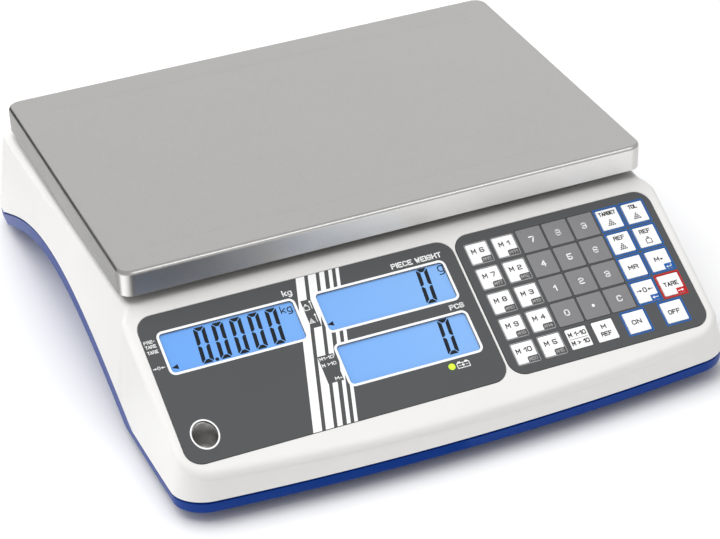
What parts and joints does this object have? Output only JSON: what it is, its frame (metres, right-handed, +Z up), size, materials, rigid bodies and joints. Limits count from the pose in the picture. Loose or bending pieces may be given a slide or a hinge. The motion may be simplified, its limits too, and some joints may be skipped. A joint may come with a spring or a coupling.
{
  "type": "counting scale",
  "caption": "Bench counting scale: stainless tray on a load cell, sloped panel with displays and keypad, two-part housing with side hand grips and screw feet.",
  "frame": {"origin": "centre of the housing's footprint, on the surface the feet stand on", "axes": "+X to the operator's right, -Y towards the operator, +Z up through the tray"},
  "size_m": [0.356, 0.39, 0.108],
  "materials": {
    "white_abs": "satin moulded",
    "blue_abs": "satin moulded",
    "stainless_steel": "brushed",
    "cast_aluminium": "as cast",
    "machined_aluminium": "machined",
    "zinc_plated_steel": "zinc plated",
    "printed_polycarbonate": "fine matt film",
    "backlit_display": "smooth",
    "grey_polycarbonate": "smooth",
    "green_lamp": "smooth",
    "circuit_board": "solder mask",
    "battery_case": "moulded",
    "black_nylon": "moulded",
    "black_rubber": "matt",
    "white_key_film": "fine matt film",
    "grey_key_film": "fine matt film",
    "rimmed_key_film": "fine matt film"
  },
  "bodies": {
    "housing": {"upper_housing": "white_abs", "lower_housing": "blue_abs", "load_cell": "machined_aluminium", "load_cell_base_spacer": "zinc_plated_steel", "display_overlay": "printed_polycarbonate", "keypad_overlay": "printed_polycarbonate", "lcd_weight": "backlit_display", "lcd_piece_weight": "backlit_display", "lcd_pieces": "backlit_display", "level_vial": "grey_polycarbonate", "charge_led": "green_lamp", "main_board": "circuit_board", "battery_pack": "battery_case", "battery_cover": "blue_abs", "power_jack": "black_nylon"},
    "platform": {"tray_carrier": "cast_aluminium", "load_cell_top_spacer": "zinc_plated_steel"},
    "tray": {"weighing_tray": "stainless_steel"},
    "foot_pad_front_left": {"foot_pad_front_left": "black_rubber"},
    "foot_screw_front_left": {"foot_screw_front_left": "zinc_plated_steel"},
    "foot_pad_front_right": {"foot_pad_front_right": "black_rubber"},
    "foot_screw_front_right": {"foot_screw_front_right": "zinc_plated_steel"},
    "foot_pad_rear_left": {"foot_pad_rear_left": "black_rubber"},
    "foot_screw_rear_left": {"foot_screw_rear_left": "zinc_plated_steel"},
    "foot_pad_rear_right": {"foot_pad_rear_right": "black_rubber"},
    "foot_screw_rear_right": {"foot_screw_rear_right": "zinc_plated_steel"},
    "key_m6": {"key_m6": "white_key_film"},
    "key_m1": {"key_m1": "white_key_film"},
    "key_7": {"key_7": "grey_key_film"},
    "key_8": {"key_8": "grey_key_film"},
    "key_9": {"key_9": "grey_key_film"},
    "key_target": {"key_target": "rimmed_key_film"},
    "key_tolerance": {"key_tolerance": "rimmed_key_film"},
    "key_m7": {"key_m7": "white_key_film"},
    "key_m2": {"key_m2": "white_key_film"},
    "key_4": {"key_4": "grey_key_film"},
    "key_5": {"key_5": "grey_key_film"},
    "key_6": {"key_6": "grey_key_film"},
    "key_ref_pieces": {"key_ref_pieces": "rimmed_key_film"},
    "key_ref_weight": {"key_ref_weight": "rimmed_key_film"},
    "key_m8": {"key_m8": "white_key_film"},
    "key_m3": {"key_m3": "white_key_film"},
    "key_1": {"key_1": "grey_key_film"},
    "key_2": {"key_2": "grey_key_film"},
    "key_3": {"key_3": "grey_key_film"},
    "key_memory_recall": {"key_memory_recall": "rimmed_key_film"},
    "key_memory_add": {"key_memory_add": "rimmed_key_film"},
    "key_m9": {"key_m9": "white_key_film"},
    "key_m4": {"key_m4": "white_key_film"},
    "key_0": {"key_0": "grey_key_film"},
    "key_point": {"key_point": "grey_key_film"},
    "key_clear": {"key_clear": "grey_key_film"},
    "key_zero": {"key_zero": "rimmed_key_film"},
    "key_tare": {"key_tare": "rimmed_key_film"},
    "key_m10": {"key_m10": "white_key_film"},
    "key_m5": {"key_m5": "white_key_film"},
    "key_memory_bank": {"key_memory_bank": "white_key_film"},
    "key_memory_ref": {"key_memory_ref": "white_key_film"},
    "key_on": {"key_on": "rimmed_key_film"},
    "key_off": {"key_off": "rimmed_key_film"}
  },
  "joints": [
    {"name": "platform_deflection", "type": "slide", "parent": "housing", "child": "platform", "axis": [0, 0, 1], "range_m": [-0.0002, 0], "stiffness_N_per_m": 100000, "springref_m": 0.0004},
    {"name": "tray_lift", "type": "slide", "parent": "platform", "child": "tray", "axis": [0, 0, 1], "range_m": [0, 0.1]},
    {"name": "foot_front_left_travel", "type": "slide", "parent": "housing", "child": "foot_pad_front_left", "axis": [0, 0, -1], "range_m": [0, 0.005]},
    {"name": "foot_front_left_turn", "type": "hinge", "parent": "foot_pad_front_left", "child": "foot_screw_front_left", "pos_m": [-0.13, -0.159, 0.012], "axis": [0, 0, 1], "range_deg": [0, 1440]},
    {"name": "foot_front_right_travel", "type": "slide", "parent": "housing", "child": "foot_pad_front_right", "axis": [0, 0, -1], "range_m": [0, 0.005]},
    {"name": "foot_front_right_turn", "type": "hinge", "parent": "foot_pad_front_right", "child": "foot_screw_front_right", "pos_m": [0.13, -0.159, 0.012], "axis": [0, 0, 1], "range_deg": [0, 1440]},
    {"name": "foot_rear_left_travel", "type": "slide", "parent": "housing", "child": "foot_pad_rear_left", "axis": [0, 0, -1], "range_m": [0, 0.005]},
    {"name": "foot_rear_left_turn", "type": "hinge", "parent": "foot_pad_rear_left", "child": "foot_screw_rear_left", "pos_m": [-0.13, 0.159, 0.012], "axis": [0, 0, 1], "range_deg": [0, 1440]},
    {"name": "foot_rear_right_travel", "type": "slide", "parent": "housing", "child": "foot_pad_rear_right", "axis": [0, 0, -1], "range_m": [0, 0.005]},
    {"name": "foot_rear_right_turn", "type": "hinge", "parent": "foot_pad_rear_right", "child": "foot_screw_rear_right", "pos_m": [0.13, 0.159, 0.012], "axis": [0, 0, 1], "range_deg": [0, 1440]},
    {"name": "key_m6_press", "type": "slide", "parent": "housing", "child": "key_m6", "axis": [0, -0.4807, 0.8769], "range_m": [-0.0005, 0], "stiffness_N_per_m": 1000, "springref_m": 0.0003},
    {"name": "key_m1_press", "type": "slide", "parent": "housing", "child": "key_m1", "axis": [0, -0.4807, 0.8769], "range_m": [-0.0005, 0], "stiffness_N_per_m": 1000, "springref_m": 0.0003},
    {"name": "key_7_press", "type": "slide", "parent": "housing", "child": "key_7", "axis": [0, -0.4807, 0.8769], "range_m": [-0.0005, 0], "stiffness_N_per_m": 1000, "springref_m": 0.0003},
    {"name": "key_8_press", "type": "slide", "parent": "housing", "child": "key_8", "axis": [0, -0.4807, 0.8769], "range_m": [-0.0005, 0], "stiffness_N_per_m": 1000, "springref_m": 0.0003},
    {"name": "key_9_press", "type": "slide", "parent": "housing", "child": "key_9", "axis": [0, -0.4807, 0.8769], "range_m": [-0.0005, 0], "stiffness_N_per_m": 1000, "springref_m": 0.0003},
    {"name": "key_target_press", "type": "slide", "parent": "housing", "child": "key_target", "axis": [0, -0.4807, 0.8769], "range_m": [-0.0005, 0], "stiffness_N_per_m": 1000, "springref_m": 0.0003},
    {"name": "key_tolerance_press", "type": "slide", "parent": "housing", "child": "key_tolerance", "axis": [0, -0.4807, 0.8769], "range_m": [-0.0005, 0], "stiffness_N_per_m": 1000, "springref_m": 0.0003},
    {"name": "key_m7_press", "type": "slide", "parent": "housing", "child": "key_m7", "axis": [0, -0.4807, 0.8769], "range_m": [-0.0005, 0], "stiffness_N_per_m": 1000, "springref_m": 0.0003},
    {"name": "key_m2_press", "type": "slide", "parent": "housing", "child": "key_m2", "axis": [0, -0.4807, 0.8769], "range_m": [-0.0005, 0], "stiffness_N_per_m": 1000, "springref_m": 0.0003},
    {"name": "key_4_press", "type": "slide", "parent": "housing", "child": "key_4", "axis": [0, -0.4807, 0.8769], "range_m": [-0.0005, 0], "stiffness_N_per_m": 1000, "springref_m": 0.0003},
    {"name": "key_5_press", "type": "slide", "parent": "housing", "child": "key_5", "axis": [0, -0.4807, 0.8769], "range_m": [-0.0005, 0], "stiffness_N_per_m": 1000, "springref_m": 0.0003},
    {"name": "key_6_press", "type": "slide", "parent": "housing", "child": "key_6", "axis": [0, -0.4807, 0.8769], "range_m": [-0.0005, 0], "stiffness_N_per_m": 1000, "springref_m": 0.0003},
    {"name": "key_ref_pieces_press", "type": "slide", "parent": "housing", "child": "key_ref_pieces", "axis": [0, -0.4807, 0.8769], "range_m": [-0.0005, 0], "stiffness_N_per_m": 1000, "springref_m": 0.0003},
    {"name": "key_ref_weight_press", "type": "slide", "parent": "housing", "child": "key_ref_weight", "axis": [0, -0.4807, 0.8769], "range_m": [-0.0005, 0], "stiffness_N_per_m": 1000, "springref_m": 0.0003},
    {"name": "key_m8_press", "type": "slide", "parent": "housing", "child": "key_m8", "axis": [0, -0.4807, 0.8769], "range_m": [-0.0005, 0], "stiffness_N_per_m": 1000, "springref_m": 0.0003},
    {"name": "key_m3_press", "type": "slide", "parent": "housing", "child": "key_m3", "axis": [0, -0.4807, 0.8769], "range_m": [-0.0005, 0], "stiffness_N_per_m": 1000, "springref_m": 0.0003},
    {"name": "key_1_press", "type": "slide", "parent": "housing", "child": "key_1", "axis": [0, -0.4807, 0.8769], "range_m": [-0.0005, 0], "stiffness_N_per_m": 1000, "springref_m": 0.0003},
    {"name": "key_2_press", "type": "slide", "parent": "housing", "child": "key_2", "axis": [0, -0.4807, 0.8769], "range_m": [-0.0005, 0], "stiffness_N_per_m": 1000, "springref_m": 0.0003},
    {"name": "key_3_press", "type": "slide", "parent": "housing", "child": "key_3", "axis": [0, -0.4807, 0.8769], "range_m": [-0.0005, 0], "stiffness_N_per_m": 1000, "springref_m": 0.0003},
    {"name": "key_memory_recall_press", "type": "slide", "parent": "housing", "child": "key_memory_recall", "axis": [0, -0.4807, 0.8769], "range_m": [-0.0005, 0], "stiffness_N_per_m": 1000, "springref_m": 0.0003},
    {"name": "key_memory_add_press", "type": "slide", "parent": "housing", "child": "key_memory_add", "axis": [0, -0.4807, 0.8769], "range_m": [-0.0005, 0], "stiffness_N_per_m": 1000, "springref_m": 0.0003},
    {"name": "key_m9_press", "type": "slide", "parent": "housing", "child": "key_m9", "axis": [0, -0.4807, 0.8769], "range_m": [-0.0005, 0], "stiffness_N_per_m": 1000, "springref_m": 0.0003},
    {"name": "key_m4_press", "type": "slide", "parent": "housing", "child": "key_m4", "axis": [0, -0.4807, 0.8769], "range_m": [-0.0005, 0], "stiffness_N_per_m": 1000, "springref_m": 0.0003},
    {"name": "key_0_press", "type": "slide", "parent": "housing", "child": "key_0", "axis": [0, -0.4807, 0.8769], "range_m": [-0.0005, 0], "stiffness_N_per_m": 1000, "springref_m": 0.0003},
    {"name": "key_point_press", "type": "slide", "parent": "housing", "child": "key_point", "axis": [0, -0.4807, 0.8769], "range_m": [-0.0005, 0], "stiffness_N_per_m": 1000, "springref_m": 0.0003},
    {"name": "key_clear_press", "type": "slide", "parent": "housing", "child": "key_clear", "axis": [0, -0.4807, 0.8769], "range_m": [-0.0005, 0], "stiffness_N_per_m": 1000, "springref_m": 0.0003},
    {"name": "key_zero_press", "type": "slide", "parent": "housing", "child": "key_zero", "axis": [0, -0.4807, 0.8769], "range_m": [-0.0005, 0], "stiffness_N_per_m": 1000, "springref_m": 0.0003},
    {"name": "key_tare_press", "type": "slide", "parent": "housing", "child": "key_tare", "axis": [0, -0.4807, 0.8769], "range_m": [-0.0005, 0], "stiffness_N_per_m": 1000, "springref_m": 0.0003},
    {"name": "key_m10_press", "type": "slide", "parent": "housing", "child": "key_m10", "axis": [0, -0.4807, 0.8769], "range_m": [-0.0005, 0], "stiffness_N_per_m": 1000, "springref_m": 0.0003},
    {"name": "key_m5_press", "type": "slide", "parent": "housing", "child": "key_m5", "axis": [0, -0.4807, 0.8769], "range_m": [-0.0005, 0], "stiffness_N_per_m": 1000, "springref_m": 0.0003},
    {"name": "key_memory_bank_press", "type": "slide", "parent": "housing", "child": "key_memory_bank", "axis": [0, -0.4807, 0.8769], "range_m": [-0.0005, 0], "stiffness_N_per_m": 1000, "springref_m": 0.0003},
    {"name": "key_memory_ref_press", "type": "slide", "parent": "housing", "child": "key_memory_ref", "axis": [0, -0.4807, 0.8769], "range_m": [-0.0005, 0], "stiffness_N_per_m": 1000, "springref_m": 0.0003},
    {"name": "key_on_press", "type": "slide", "parent": "housing", "child": "key_on", "axis": [0, -0.4807, 0.8769], "range_m": [-0.0005, 0], "stiffness_N_per_m": 1000, "springref_m": 0.0003},
    {"name": "key_off_press", "type": "slide", "parent": "housing", "child": "key_off", "axis": [0, -0.4807, 0.8769], "range_m": [-0.0005, 0], "stiffness_N_per_m": 1000, "springref_m": 0.0003}
  ],
  "couplings": [
    {"joint": "foot_front_left_turn", "follows": "foot_front_left_travel", "rad_per_m": 5026.5},
    {"joint": "foot_front_right_turn", "follows": "foot_front_right_travel", "rad_per_m": 5026.5},
    {"joint": "foot_rear_left_turn", "follows": "foot_rear_left_travel", "rad_per_m": 5026.5},
    {"joint": "foot_rear_right_turn", "follows": "foot_rear_right_travel", "rad_per_m": 5026.5}
  ]
}
